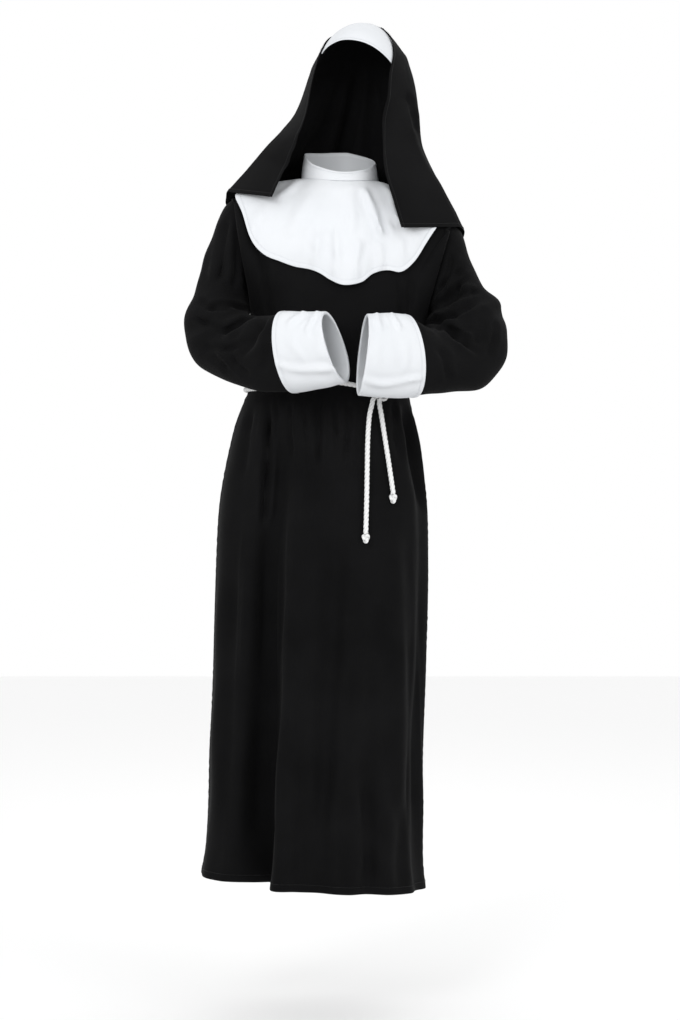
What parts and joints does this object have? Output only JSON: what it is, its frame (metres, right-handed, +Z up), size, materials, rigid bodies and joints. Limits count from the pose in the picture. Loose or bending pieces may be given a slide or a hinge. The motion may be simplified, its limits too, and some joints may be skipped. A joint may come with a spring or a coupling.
{
  "type": "nun habit costume",
  "caption": "Long black robe with wide sleeves, white turned cuffs, white cape collar, white headband with a black veil, and a knotted rope belt.",
  "frame": {"origin": "on the body's centre line at the height of the robe's neck seam, where the shoulders carry the garment", "axes": "+X towards the wearer's left, -Y ahead of the wearer, +Z up"},
  "size_m": [0.5716, 0.3996, 1.5564],
  "materials": {
    "black_cloth": "matt plain-weave polyester, black",
    "white_cloth": "matt plain-weave polyester, white",
    "rope": "twisted white cotton cord"
  },
  "bodies": {
    "root": {"robe_front": "black_cloth", "robe_back": "black_cloth", "sleeve_right": "black_cloth", "sleeve_left": "black_cloth", "cuff_right": "white_cloth", "cuff_left": "white_cloth", "cape_collar": "white_cloth", "neck_band": "white_cloth", "headband": "white_cloth", "veil": "black_cloth", "belt_loop": "rope", "belt_knot": "rope", "belt_end_long": "rope", "belt_end_short": "rope", "belt_tip_long": "rope", "belt_tip_short": "rope"}
  },
  "joints": []
}
